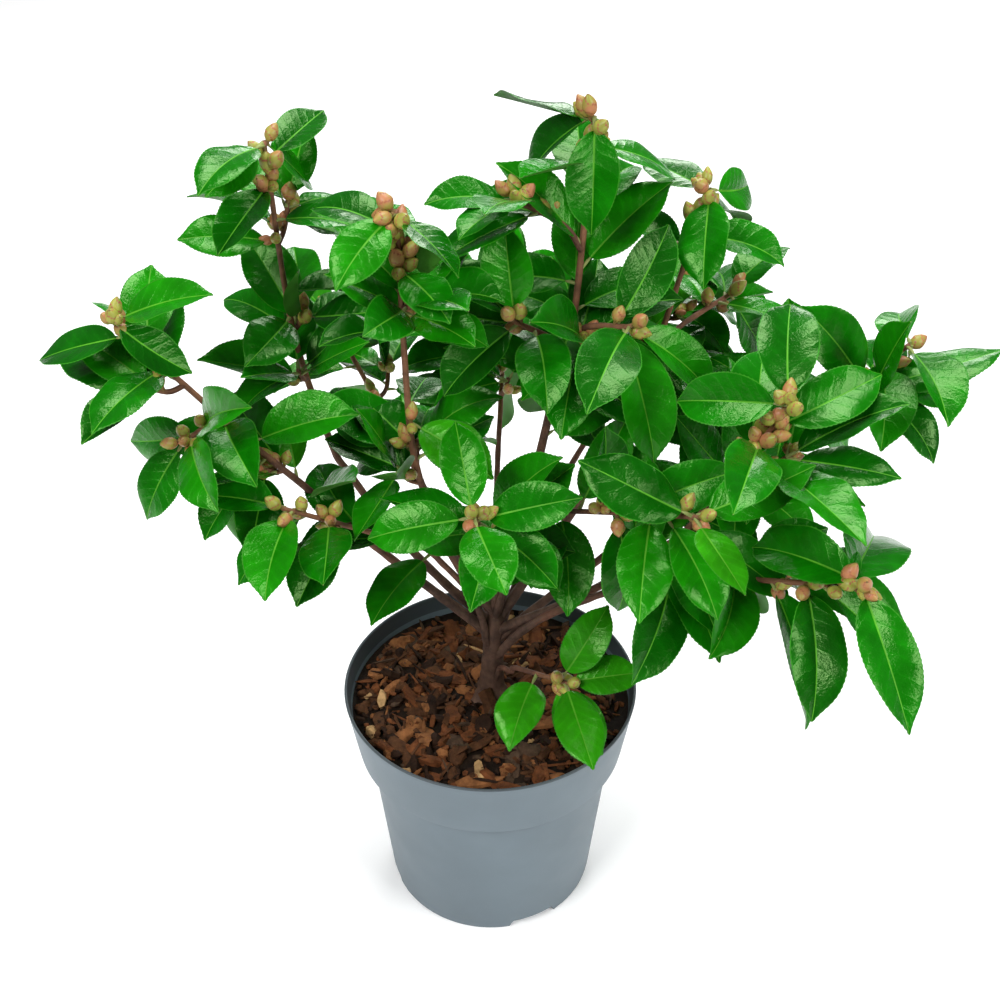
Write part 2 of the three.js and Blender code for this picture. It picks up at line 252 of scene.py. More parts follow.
class Batch:
    """Gathers closed meshes into one piece, with a material slot for each face."""

    def __init__(self, materials):
        self.materials = list(materials)
        self.verts = []
        self.quads = []
        self.tris = []
        self.quad_slots = []
        self.tri_slots = []
        self.quad_uvs = []
        self.tri_uvs = []
        self.count = 0

    def add(self, verts, quads, tris, quad_slots, tri_slots, quad_uvs=None, tri_uvs=None):
        verts = np.asarray(verts).reshape(-1, 3)
        self.verts.append(verts)
        self.quads.append(quads + self.count)
        self.tris.append(tris + self.count)
        self.quad_slots.append(np.broadcast_to(quad_slots, len(quads)))
        self.tri_slots.append(np.broadcast_to(tri_slots, len(tris)))
        if quad_uvs is not None:
            self.quad_uvs.append(quad_uvs)
            self.tri_uvs.append(tri_uvs)
        self.count += len(verts)

    def add_tube(self, points, side_slots, cap_slot):
        """Adds a closed tube of rows of ring points each."""
        rows, ring = points.shape[:2]
        self.add(points, tube_quads(rows, ring), cap_tris(rows, ring), side_slots, cap_slot)

    def piece(self, name, sharp=None):
        quads = np.vstack(self.quads)
        tris = np.vstack(self.tris)
        mesh = bpy.data.meshes.new(name)
        verts = np.vstack(self.verts)
        mesh.vertices.add(len(verts))
        mesh.vertices.foreach_set("co", verts.ravel())
        loops = np.concatenate([quads.ravel(), tris.ravel()])
        mesh.loops.add(len(loops))
        mesh.loops.foreach_set("vertex_index", loops.astype(np.int32))
        mesh.polygons.add(len(quads) + len(tris))
        starts = np.concatenate([
            4 * np.arange(len(quads)),
            4 * len(quads) + 3 * np.arange(len(tris)),
        ])
        mesh.polygons.foreach_set("loop_start", starts.astype(np.int32))
        slots = np.concatenate(self.quad_slots + self.tri_slots)
        mesh.polygons.foreach_set("material_index", slots.astype(np.int32))
        smooth = np.full(len(starts), sharp != 0)
        mesh.polygons.foreach_set("use_smooth", smooth)
        if self.quad_uvs:
            uvs = np.concatenate([
                np.concatenate(self.quad_uvs).ravel(),
                np.concatenate(self.tri_uvs).ravel(),
            ])
            layer = mesh.uv_layers.new(name="OFBake")
            layer.uv.foreach_set("vector", uvs.astype(np.float32))
        for material in self.materials:
            mesh.materials.append(material)
        mesh.update(calc_edges=True)
        mesh.validate()
        if sharp:
            mesh.set_sharp_from_angle(angle=math.radians(sharp))
        return new_object(name, mesh)


def tube_quads(rows, ring):
    """The side faces of a tube of rows of ring points each, facing out."""
    i = (np.arange(rows - 1) * ring)[:, None]
    j = np.arange(ring)
    k = (j + 1) % ring
    return np.stack([i + j, i + k, i + k + ring, i + j + ring], -1).reshape(-1, 4)


def cap_tris(rows, ring):
    """The end faces of the same tube."""
    j = np.arange(1, ring - 1)
    first = np.stack([0 * j, j + 1, j], -1)
    last = np.stack([0 * j, j, j + 1], -1) + (rows - 1) * ring
    return np.vstack([first, last])


def frames_along(tangents, start):
    """Side vectors that turn with the tangents and don't twist."""
    sides = [across(start, tangents[0])]
    for tangent in tangents[1:]:
        sides.append(across(sides[-1], tangent))
    sides = np.array(sides)
    return sides, np.cross(tangents, sides)


def tube(stem, step, ring, relief):
    """Rows of points round a stem. relief(s, angle) changes the radius."""
    rows = max(3, int(stem.length / step) + 1)
    s = np.linspace(0, stem.length, rows)
    tangents = stem.tangent(s)
    start = UP if abs(tangents[0][2]) < 0.8 else np.array([1.0, 0, 0])
    side, other = frames_along(tangents, start)
    angle = round_turn(ring)
    radius = stem.radius(s)[:, None] * relief(s[:, None], angle[None, :])
    around = side[:, None] * np.cos(angle)[:, None] + other[:, None] * np.sin(angle)[:, None]
    return stem.at(s)[:, None] + around * radius[..., None], s


# ---- Materials -------------------------------------------------------------------------


class Nodes:
    """A principled material and short ways to add nodes to it."""

    def __init__(self, name, color, roughness, **sockets):
        self.material = bpy.data.materials.new(name)
        self.material.use_nodes = True
        self.tree = self.material.node_tree
        self.shader = self.tree.nodes["Principled BSDF"]
        self.shader.inputs["Base Color"].default_value = (*color, 1)
        self.shader.inputs["Roughness"].default_value = roughness
        for socket, value in sockets.items():
            self.shader.inputs[socket.replace("_", " ")].default_value = value
        self.place = self.add("ShaderNodeTexCoord").outputs["Object"]

    def add(self, kind, inputs=(), **settings):
        """A node, with its inputs linked to a socket or set to a value."""
        node = self.tree.nodes.new(kind)
        for key, value in settings.items():
            setattr(node, key, value)
        for socket, value in dict(inputs).items():
            if isinstance(value, bpy.types.NodeSocket):
                self.link(value, node.inputs[socket])
            else:
                node.inputs[socket].default_value = value
        return node

    def link(self, source, target):
        self.tree.links.new(source, target)

    def noise(self, scale, detail=3.0, stretch=None, roughness=0.5):
        place = self.place
        if stretch:
            mapping = {"Scale": stretch, "Vector": place}
            place = self.add("ShaderNodeMapping", mapping).outputs["Vector"]
        inputs = {"Scale": scale, "Detail": detail, "Roughness": roughness, "Vector": place}
        return self.add("ShaderNodeTexNoise", inputs).outputs["Fac"]

    def ramp(self, factor, stops):
        node = self.add("ShaderNodeValToRGB", {"Fac": factor})
        elements = node.color_ramp.elements
        while len(elements) < len(stops):
            elements.new(0.5)
        for element, (position, color) in zip(elements, stops):
            element.position = position
            element.color = (*color, 1)
        return node.outputs["Color"]

    def span(self, factor, low, high):
        inputs = {"To Min": low, "To Max": high, "Value": factor}
        return self.add("ShaderNodeMapRange", inputs).outputs["Result"]

    def math(self, operation, *values):
        inputs = dict(enumerate(values))
        return self.add("ShaderNodeMath", inputs, operation=operation).outputs[0]

    def bump(self, height, strength, distance):
        inputs = {"Strength": strength, "Distance": distance, "Height": height}
        last = self.shader.inputs["Normal"]
        if last.is_linked:
            inputs["Normal"] = last.links[0].from_socket
        self.link(self.add("ShaderNodeBump", inputs).outputs["Normal"], last)

    def color(self, output):
        self.link(output, self.shader.inputs["Base Color"])

    def rough(self, output):
        self.link(output, self.shader.inputs["Roughness"])


def scaled(color, factor):
    return tuple(min(1.0, c * factor) for c in color)


def mottled(nodes, color, scale, low, high, **noise):
    """Colours the material with cloudy lighter and darker patches of one colour."""
    cloud = nodes.noise(scale, **noise)
    nodes.color(nodes.ramp(cloud, [(0.32, scaled(color, low)), (0.68, scaled(color, high))]))
    return cloud


def vein_height(nodes):
    """0 to 1: high between a leaf's side veins and low on them, by its tile of the map."""
    uv = nodes.add("ShaderNodeUVMap", uv_map="OFBake").outputs["UV"]
    parts = nodes.add("ShaderNodeSeparateXYZ", {0: uv})
    local = []
    for axis in (0, 1):
        tile = nodes.math("MULTIPLY", parts.outputs[axis], Foliage.TILES)
        local.append(nodes.math("FRACT", tile))
    column = nodes.math("MULTIPLY", local[0], LEAF_RING / Foliage.TILE_SHARE)
    side = nodes.math("ABSOLUTE", nodes.math("SUBTRACT", column, STRIPS / 2))
    along = nodes.math("MULTIPLY", local[1], SIDE_VEINS)
    cell = nodes.math("SUBTRACT", along, nodes.math("MULTIPLY", side, 0.46))
    wander = nodes.math("MULTIPLY", nodes.noise(90, 2.0), 1.1)
    wave = nodes.math("SINE", nodes.math("MULTIPLY", nodes.math("ADD", cell, wander), math.pi))
    return nodes.math("POWER", nodes.math("ABSOLUTE", wave), 0.5)


def blade_material(name, color):
    nodes = Nodes(name, color, 0.22, Specular_IOR_Level=0.4, Specular_Tint=GLOSS_TINT)
    veins = vein_height(nodes)
    cloud = nodes.noise(80)
    both = nodes.math("ADD", nodes.math("MULTIPLY", veins, -0.15), cloud)
    stops = [(0.2, scaled(color, 0.82)), (0.46, scaled(color, 1.1)), (0.6, scaled(color, 1.35))]
    nodes.color(nodes.ramp(both, stops))
    nodes.rough(nodes.span(nodes.noise(160), 0.14, 0.3))
    nodes.bump(veins, 0.6, 0.16 * MM)
    nodes.bump(nodes.noise(300), 0.6, 0.3 * MM)
    nodes.bump(nodes.noise(1000), 0.7, 0.2 * MM)
    return nodes.material


def dull_leaf_material(name, color):
    nodes = Nodes(name, color, 0.5, Specular_IOR_Level=0.18)
    mottled(nodes, color, 110, 0.82, 1.18)
    nodes.rough(nodes.span(nodes.noise(200), 0.42, 0.6))
    nodes.bump(nodes.noise(900), 0.3, 0.15 * MM)
    return nodes.material


def bark_material(name, color, low, high):
    nodes = Nodes(name, color, 0.7, Specular_IOR_Level=0.3)
    mottled(nodes, color, 160, low, high, detail=5.0, roughness=0.6)
    nodes.rough(nodes.span(nodes.noise(300), 0.55, 0.85))
    nodes.bump(nodes.noise(500, 5.0, roughness=0.65), 0.6, 0.5 * MM)
    nodes.bump(nodes.noise(1600), 0.3, 0.15 * MM)
    return nodes.material


def bud_material(name, color, roughness, blush=None):
    """A bud's scales, all of one colour or clouded with blush."""
    nodes = Nodes(name, color, roughness, Specular_IOR_Level=0.35)
    if blush:
        nodes.color(nodes.ramp(nodes.noise(150), [(0.4, color), (0.6, blush)]))
    else:
        mottled(nodes, color, 260, 0.74, 1.2)
    nodes.rough(nodes.span(nodes.noise(400), roughness - 0.08, roughness + 0.12))
    nodes.bump(nodes.noise(1200), 0.3, 0.15 * MM)
    return nodes.material


def chip_material(name, color):
    nodes = Nodes(name, color, 0.8, Specular_IOR_Level=0.16)
    mottled(nodes, color, 190, 0.5, 1.5, detail=6.0, roughness=0.65)
    nodes.rough(nodes.span(nodes.noise(250), 0.65, 0.95))
    nodes.bump(nodes.noise(420, 6.0, roughness=0.7), 0.8, 0.8 * MM)
    return nodes.material


def pot_material(name, color):
    nodes = Nodes(name, color, 0.5, Specular_IOR_Level=0.4)
    mottled(nodes, color, 22, 0.93, 1.06, detail=6.0)
    nodes.rough(nodes.span(nodes.noise(60, 4.0), 0.42, 0.58))
    nodes.bump(nodes.noise(900), 0.18, 0.12 * MM)
    nodes.bump(nodes.noise(36, 2.0, stretch=(1, 1, 0.25)), 0.1, 0.6 * MM)
    return nodes.material


# ---- Leaves ----------------------------------------------------------------------------

BLADE_ROWS = 2 * LEAF["teeth"] + 3
PETIOLE_ROWS = 3
LEAF_ROWS = PETIOLE_ROWS + BLADE_ROWS
SIDE_VEINS = 9.0  # along a whole leaf and its petiole
STRIPS = 10  # across the top: margin, three of blade and half the midrib, and back again
LEAF_RING = STRIPS + 4  # three more points run back under the blade


def leaf_topology():
    """The faces of a leaf, with what each is made of and its place on a map tile."""
    quads = tube_quads(LEAF_ROWS, LEAF_RING)
    tris = cap_tris(LEAF_ROWS, LEAF_RING)
    across_top = ["margin"] + ["blade"] * 3 + ["midrib"] * 2 + ["blade"] * 3 + ["margin"]
    row = across_top + ["underside"] * 4
    kinds = [["petiole"] * LEAF_RING] * PETIOLE_ROWS
    kinds = kinds + [row] * (LEAF_ROWS - 1 - PETIOLE_ROWS)
    j = np.arange(LEAF_RING)
    i = np.arange(LEAF_ROWS - 1)[:, None]
    u = np.stack(np.broadcast_arrays(j, j + 1, j + 1, j), -1) / LEAF_RING
    v = np.stack(np.broadcast_arrays(i, i, i + 1, i + 1), -1) / (LEAF_ROWS - 1)
    u = np.broadcast_to(u[None], (LEAF_ROWS - 1, LEAF_RING, 4))
    v = np.broadcast_to(v, (LEAF_ROWS - 1, LEAF_RING, 4))
    quad_uvs = np.stack([u, v], -1).reshape(-1, 4, 2)
    corner = np.array([[0.0, 0.0], [0.01, 0.0], [0.0, 0.01]])
    tri_uvs = np.broadcast_to(corner, (len(tris), 3, 2)).copy()
    return quads, tris, np.array(kinds).ravel(), quad_uvs, tri_uvs


LEAF_QUADS, LEAF_TRIS, LEAF_KINDS, LEAF_QUAD_UVS, LEAF_TRI_UVS = leaf_topology()


def half_width(u):
    """A camellia blade's half width, 0 to 1: broadest before the middle, drawn out at the tip."""
    body = np.sin(math.pi * np.clip(u, 0, 1) ** 0.9) ** 0.66
    drawn = 1 - 0.55 * np.exp(-(((1 - u) / 0.12) ** 2))
    return body * drawn


def leaf_rings(foot, ahead, face, length, draw):
    """The points of one leaf. It leaves foot along ahead, and its upper side looks to face."""
    slim = LEAF["slimness"] * math.sqrt(LEAF["length"] / length) * draw.uniform(0.9, 1.1)
    curl = draw.uniform(0.1, 0.95)
    fold = math.radians(draw.uniform(5, 32))
    twist = draw.normal(0, 0.3)
    sweep = draw.normal(0, 0.16)
    waves = draw.uniform(1.2, 2.6)
    phases = draw.uniform(0, 2 * math.pi, 2)
    wave_height = draw.uniform(0.02, 0.09)
    recurve = draw.uniform(0.0, 0.2)

    u = np.linspace(0.0, 1.0, BLADE_ROWS)
    petiole = LEAF["petiole"] * draw.uniform(0.8, 1.3)
    steps = np.concatenate([np.full(PETIOLE_ROWS, petiole / PETIOLE_ROWS),
                            np.full(BLADE_ROWS - 1, length / (BLADE_ROWS - 1))])
    share = np.concatenate([np.zeros(PETIOLE_ROWS), u])
    pitch = -0.12 + curl * share**1.5  # how far down the blade has turned
    yaw = sweep * share
    side = np.cross(face, ahead)
    direction = (ahead * (np.cos(pitch) * np.cos(yaw))[:, None]
                 - face * np.sin(pitch)[:, None]
                 + side * (np.cos(pitch) * np.sin(yaw))[:, None])
    centres = foot + np.concatenate([[np.zeros(3)], np.cumsum(direction[1:] * steps[:, None], 0)])
    rolled = (side * np.cos(twist * share)[:, None] + face * np.sin(twist * share)[:, None])
    sides = unit(rolled - direction * np.sum(rolled * direction, 1)[:, None])
    faces = np.cross(direction, sides)

    width = np.maximum(length * slim * half_width(u), 0.35 * MM)
    rib = np.minimum(np.linspace(0.46, 0.14, BLADE_ROWS) * MM, width * 0.4)
    margin = np.minimum(LEAF["margin"], width * 0.25)
    inner = width - margin
    right = np.stack([rib, rib + (inner - rib) * 0.33, rib + (inner - rib) * 0.67, inner, width], 1)
    top = np.concatenate([-right[:, ::-1], np.zeros((BLADE_ROWS, 1)), right], 1)
    toothed = (np.arange(BLADE_ROWS) % 2) * (u > 0.1) * (u < 0.985) * LEAF["tooth"]
    top[:, 0] -= toothed
    top[:, -1] += toothed
    under = np.stack([width * 0.5, 0 * width, -width * 0.5], 1)
    lateral = np.concatenate([top, under], 1)
    v = lateral / width[:, None]
    size = np.abs(v)

    height = width[:, None] * (math.tan(fold) * size**1.1 - recurve * size**3.5)
    wave = np.sin(2 * math.pi * waves * u[:, None] + np.where(v < 0, phases[0], phases[1]))
    height += width[:, None] * wave_height * wave * size**2.5
    is_top = (np.arange(LEAF_RING) <= STRIPS)[None, :]
    cell = LEAF["veins"] * (u[:, None] - 0.2 * size + 0.02)
    swell = np.abs(np.sin(math.pi * cell)) ** 0.8 * np.sin(math.pi * np.clip(size, 0, 1)) ** 0.8
    height += is_top * LEAF["quilt"] * swell * np.sin(math.pi * u[:, None])
    height -= is_top * 0.22 * MM * np.exp(-((lateral / (0.7 * MM)) ** 2))
    height -= ~is_top * LEAF["thickness"]
    height -= (np.arange(LEAF_RING) == STRIPS + 2) * 0.3 * MM
    blade = (centres[PETIOLE_ROWS:, None] + sides[PETIOLE_ROWS:, None] * lateral[..., None]
             + faces[PETIOLE_ROWS:, None] * height[..., None])

    round_angle = np.concatenate([np.linspace(math.pi, 0, STRIPS + 1),
                                  np.linspace(0, -math.pi, 5)[1:-1]])
    radius = LEAF["petiole_radius"] * np.linspace(1.1, 0.9, PETIOLE_ROWS)[:, None]
    stalk = (centres[:PETIOLE_ROWS, None]
             + sides[:PETIOLE_ROWS, None] * (radius * np.cos(round_angle))[..., None]
             + faces[:PETIOLE_ROWS, None] * (radius * np.sin(round_angle) * 0.8)[..., None])
    return np.concatenate([stalk, blade])


class Foliage:
    """Leaves, dealt into pieces that stay under the limit of triangles."""

    PER_PIECE = 121
    TILES = 11  # a piece's leaves lie on a square map of this many tiles a side
    TILE_SHARE = 0.96  # of its tile, that a leaf takes up

    def __init__(self, materials):
        self.materials = materials
        self.batches = []
        self.masses = []

    def start_mass(self, mass, at_most):
        if not self.batches or self.in_piece + at_most > self.PER_PIECE:
            self.batches.append(Batch(self.materials.values()))
            self.masses.append([])
            self.in_piece = 0
        self.masses[-1].append(mass)

    def add(self, rings, blade):
        batch = self.batches[-1]
        order = list(self.materials)
        slots = {name.removeprefix("leaf_"): order.index(name) for name in OTHER_LEAF}
        slots["blade"] = order.index(blade)
        quad_slots = np.array([slots[kind] for kind in LEAF_KINDS])
        row, column = divmod(self.in_piece % self.TILES**2, self.TILES)
        corner = np.array([column, row]) / self.TILES
        scale = self.TILE_SHARE / self.TILES
        batch.add(rings, LEAF_QUADS, LEAF_TRIS, quad_slots, slots["petiole"],
                  corner + LEAF_QUAD_UVS * scale, corner + LEAF_TRI_UVS * scale)
        self.in_piece += 1


# ---- Buds ------------------------------------------------------------------------------

BUD_RING = 16
BUD_ROWS = 17
BUD_STALK = 0.16  # the share of a bud's length that is its short stalk
BUD_SCALES = 2.4  # turns of overlapping scales from foot to tip
GREEN_BUD = 0, 1, 2  # the materials of a bud's scales, their edges and its foot
BLUSHED_BUD = 3, 1, 2


def bud_rings(foot, ahead, length, radius, draw):
    """A closed flower bud with overlapping scales on a short stalk."""
    t = np.linspace(0, 1, BUD_ROWS)[:, None]
    angle = round_turn(BUD_RING)[None, :]
    up = np.clip((t - BUD_STALK) / (1 - BUD_STALK), 0, 1)
    spiral = up * BUD_SCALES + angle / (2 * math.pi) * 2 + draw.uniform()
    step = spiral - np.floor(spiral)
    body = np.sin(math.pi * np.clip(up, 0, 0.985) ** 0.84) ** 0.7
    r = np.maximum(radius * body * (1.02 - 0.07 * step), 0.3 * radius * (up < 0.5)) + 0.1 * MM
    side = across(np.array([0.3, 0.8, 0.52]), ahead)
    other = np.cross(ahead, side)
    lean = side * (0.06 * length) * (t**2)
    points = foot + ahead * (t * length)[..., None] + lean[:, None]
    points = points + side * (r * np.cos(angle))[..., None] + other * (r * np.sin(angle))[..., None]
    return points, step


def add_bud(batch, foot, ahead, size, draw):
    """One bud. Every other one is blushed."""
    length = BUD["length"] * size * draw.uniform(0.9, 1.15)
    radius = BUD["radius"] * size * draw.uniform(0.9, 1.1)
    points, step = bud_rings(foot, ahead, length, radius, draw)
    blushed = len(batch.verts) % 2 == 0
    body, edge, base = BLUSHED_BUD if blushed else GREEN_BUD
    kinds = np.where(step[:-1] > 0.84, edge, body)
    kinds[:3] = base
    batch.add_tube(points, kinds.ravel(), base)


# ---- Skeleton, read from the frame -----------------------------------------------------


def vertices_of(node):
    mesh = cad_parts[node].data
    co = np.empty(len(mesh.vertices) * 3)
    mesh.vertices.foreach_get("co", co)
    return co.reshape(-1, 3)


def spray_centre(mass):
    """The point that a mass's twig runs through: its middle, or above where leaves hang."""
    low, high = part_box("leaves_" + mass)
    return np.array((low + high) / 2) + UP * settings_of(mass)["lift"] * MM


def trunk_ends():
    co = vertices_of("trunk")
    low = co[co[:, 2] < co[:, 2].min() + MM].mean(0)
    high = co[co[:, 2] > co[:, 2].max() - MM].mean(0)
    return low, high


TRUNK_FOOT, TRUNK_FORK = trunk_ends()


def on_trunk(z):
    share = np.clip((z - TRUNK_FOOT[2]) / (TRUNK_FORK[2] - TRUNK_FOOT[2]), 0, 0.97)
    return TRUNK_FOOT + (TRUNK_FORK - TRUNK_FOOT) * share


def bough_line(node):
    """The middle line of a bough's solid and its radius at the root, by a cubic fit."""
    co = vertices_of(node)
    away = np.linalg.norm(co - on_trunk(co[:, 2].min()), axis=1)
    s = (away - away.min()) / (away.max() - away.min())
    powers = np.stack([s**k for k in range(4)], 1)
    fit = np.linalg.lstsq(powers, co, rcond=None)[0]
    radius = np.polyfit(s, np.linalg.norm(co - powers @ fit, axis=1), 1)
    t = np.linspace(0, 1, 9)
    line = np.stack([t**k for k in range(4)], 1) @ fit
    return line, np.polyval(radius, 0)


def settings_of(mass):
    return {**PLAIN, "seed": 31 + MASSES.index(mass), **SPRAYS.get(mass, {})}


def reach_along(mass, start, direction):
    return (vertices_of("leaves_" + mass) - start) @ direction


def twig_end(mass, before):
    """Where the twig in a mass ends: a leaf's reach inside its far side."""
    centre = spray_centre(mass)
    direction = unit(centre - before)
    far = reach_along(mass, centre, direction).max()
    reach = far - OVERHANG + settings_of(mass)["reach"] * MM
    return centre + direction * max(reach, 4 * MM)


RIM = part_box("pot")[1].x + 2 * MM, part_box("pot")[1].z + 1 * MM
BOUGHS = sorted(n[len("bough_"):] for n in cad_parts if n.startswith("bough_"))
MASSES = sorted(n[len("leaves_"):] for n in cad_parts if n.startswith("leaves_"))


def masses_on(bough):
    """The masses that a bough runs into, from its root out."""
    own = [m for m in MASSES if m in (bough, bough + "_inner", bough + "_tip")]
    return sorted(own, key=lambda m: m.endswith("_tip"))


def grow_boughs():
    stems = {}
    for bough in BOUGHS:
        line, root = bough_line("bough_" + bough)
        centres = [spray_centre(m) for m in masses_on(bough)]
        last = masses_on(bough)[-1]
        before = centres[-2] if len(centres) > 1 else line[-1]
        start = on_trunk(line[0][2] - 5 * MM)
        ahead = centres if len(centres) > 1 else []
        points = np.vstack([[start], line, *[[c] for c in ahead], [twig_end(last, before)]])
        stem = Stem(points, root, TWIG_TIP_RADIUS, 0.5)
        stem.bare = stem.nearest(line[-1])
        stems[bough] = stem
    return stems


def parent_of(mass):
    names = [b for b in BOUGHS if mass.startswith(b + "_")]
    return max(names, key=len)


def grow_side_shoot(mass, stems):
    """A twig from its bough to a mass that the bough doesn't run into."""
    parent = stems[parent_of(mass)]
    centre = spray_centre(mass)
    best = None
    for s in np.arange(0.35, 0.95, 0.02) * parent.length:
        way = centre - parent.at(s)
        turn = math.acos(np.clip(np.dot(unit(way), parent.tangent(s)), -1, 1))
        cost = np.linalg.norm(way) + 40 * MM * abs(turn - 0.85)
        if best is None or cost < best[0]:
            best = (cost, s)
    s = best[1]
    root = parent.at(s)
    early = root + 0.3 * (centre - root) + parent.tangent(s) * 5 * MM
    points = [root, early, centre, twig_end(mass, root)]
    return Stem(points, min(1.7 * MM, parent.radius(s)), TWIG_TIP_RADIUS)


# ---- Sprays: leaves and buds along a twig ----------------------------------------------


class Crowd:
    """What has grown so far, as points, so that a new leaf finds free room."""

    def __init__(self):
        self.points = np.zeros((0, 3))

    def add(self, points):
        self.points = np.vstack([self.points, points.reshape(-1, 3)])

    def crush(self, points):
        """How closely points press on what has grown: 0 when nothing is near."""
        near = self.points[np.linalg.norm(self.points - points.mean(0), axis=1) < 60 * MM]
        if not len(near):
            return 0.0
        gap = np.linalg.norm(points[:, None] - near[None], axis=2).min(1)
        return np.mean(np.exp(-((gap / ROOM) ** 2)))


class Mass:
    """The room that one mass of foliage fills: an ellipsoid fitted to its solid."""

    def __init__(self, name):
        self.name = name
        self.settings = settings_of(name)
        co = vertices_of("leaves_" + name)
        self.centre = (co.min(0) + co.max(0)) / 2
        spread = (co - self.centre).T @ (co - self.centre) / len(co) * 3
        self.inverse = np.linalg.inv(spread)
        self.radii = np.sqrt(np.linalg.eigvalsh(spread))

    def outside(self, points):
        """How far out points lie: 1 on the surface of the mass."""
        off = points - self.centre
        return np.sqrt(np.einsum("ij,jk,ik->i", off, self.inverse, off))

    def reach(self, point, direction):
        """The distance from a point inside the mass to its surface."""
        off = point - self.centre
        a = direction @ self.inverse @ direction
        b = direction @ self.inverse @ off
        c = off @ self.inverse @ off - 1
        root = b * b - a * c
        return (-b + math.sqrt(root)) / a if root > 0 and c < 0 else 0.0

    def leaves_wanted(self):
        leaf = 0.32 * LEAF["length"] ** 2 * self.settings["scale"] ** 2
        return self.settings["full"] * FULLNESS * math.pi * self.radii[1] * self.radii[2] / leaf


def leafy_span(mass, stem):
    """The stretch of a stem that bears a mass's leaves."""
    middle = stem.nearest(mass.centre)
    direction = stem.tangent(middle)
    reach = reach_along(mass.name, mass.centre, direction)
    low = middle + reach.min() + 0.25 * OVERHANG
    high = middle + reach.max() - 0.45 * OVERHANG
    if stem.length - high < 14 * MM:
        high = stem.length
    return max(low, 4 * MM), min(high, stem.length)


def side_twigs(mass, stem, low, high, draw):
    """Short twigs that leave the stem by the golden angle and fill the mass."""
    main = (high - low) / INTERNODE
    count = int(np.clip(round((mass.leaves_wanted() - main) / 3.6), 0, 6))
    turn = draw.uniform(0, 2 * math.pi)
    twigs = []
    for k in range(count * 2):
        s = low + (high - low) * (0.05 + 0.8 * ((k * 0.618) % 1))
        turn += GOLDEN
        tangent, out = stem_axes(stem, s, turn)
        direction = unit(tangent * 0.75 + out + UP * 0.15)
        length = min(mass.reach(stem.at(s), direction) - OVERHANG, 46 * MM)
        if length < 9 * MM or len(twigs) == count:
            continue
        root = stem.at(s)
        middle = root + unit(tangent * 0.4 + out) * length * 0.45
        twigs.append(Stem([root, middle, root + direction * length], 1.35 * MM, 1.0 * MM))
    return twigs


def stem_axes(stem, s, azimuth):
    """The stem's direction at s and a direction across it."""
    tangent = stem.tangent(s)
    side = across(UP if abs(tangent[2]) < 0.9 else np.array([0.0, -1.0, 0.0]), tangent)
    return tangent, side * math.cos(azimuth) + np.cross(tangent, side) * math.sin(azimuth)


def leaf_pose(stem, s, azimuth, lean, droop, draw):
    """Where a leaf stands on its stem, which way it leaves it and where it faces."""
    tangent, out = stem_axes(stem, s, azimuth)
    level = 1 - abs(tangent[2])
    out = unit(out + UP * 0.3 * level)
    ahead = unit(tangent * math.cos(lean) + out * math.sin(lean) - UP * droop)
    wish = tangent * 0.3 + LIGHT + draw.normal(0, 0.2, 3)
    return stem.at(s) + out * stem.radius(s) * 0.6, ahead, across(wish, ahead)


def sampled(rings):
    """A few of a leaf's points, by which it is compared with others."""
    return rings[9::6, [0, 2, 5, 8, 10]].reshape(-1, 3)


def misfit(rings, mass, crowd):
    """How badly a leaf sits: pressed on others, out of its mass, or in the pot."""
    points = sampled(rings)
    pressed = crowd.crush(points)
    out = np.mean(np.maximum(mass.outside(points) - 1.0, 0))
    low, high = LIMITS
    beyond = np.sum((points < low) | (points > high))
    in_pot = np.sum((points[:, 2] < RIM[1]) & (np.hypot(points[:, 0], points[:, 1]) < RIM[0]))
    return PRESSED_COST * pressed + OUTSIDE_COST * out + beyond + in_pot


def place_leaf(mass, stem, s, turn, lean, size, crowd, draw):
    """The best of several tries for one leaf."""
    best = None
    for _ in range(TRIES):
        azimuth = turn + draw.normal(0, 0.55)
        droop = mass.settings["droop"] + draw.normal(0, 0.12)
        pose = leaf_pose(stem, s, azimuth, lean + draw.normal(0, 0.22), droop, draw)
        length = LEAF["length"] * mass.settings["scale"] * size * draw.uniform(0.84, 1.16)
        rings = leaf_rings(*pose, length, draw)
        score = misfit(rings, mass, crowd) + max(0.0, pose[1] @ LIGHT - END_ON)
        if best is None or score < best[0]:
            best = (score, rings)
    crowd.add(sampled(best[1]))
    return best


def cover_limb(mass, stem, low, foliage, crowd, draw):
    """Leaves on the limb below a spray, by the golden angle, where the crown is dense."""
    turn = draw.uniform(0, 2 * math.pi)
    for k in range(mass.settings["cover"]):
        turn += GOLDEN
        s = max(low - COVER_SPACING * (k + 0.5), 0.3 * stem.length)
        _, rings = place_leaf(mass, stem, s, turn, COVER_LEAN, 1.0, crowd, draw)
        foliage.add(rings, pick_blade(mass.settings, draw))


def pick_blade(settings, draw):
    if draw.uniform() < settings["fresh"]:
        return "leaf_fresh"
    return draw.choice(["leaf_deep", "leaf_deep", "leaf_mid", "leaf_mid", "leaf_dark"])


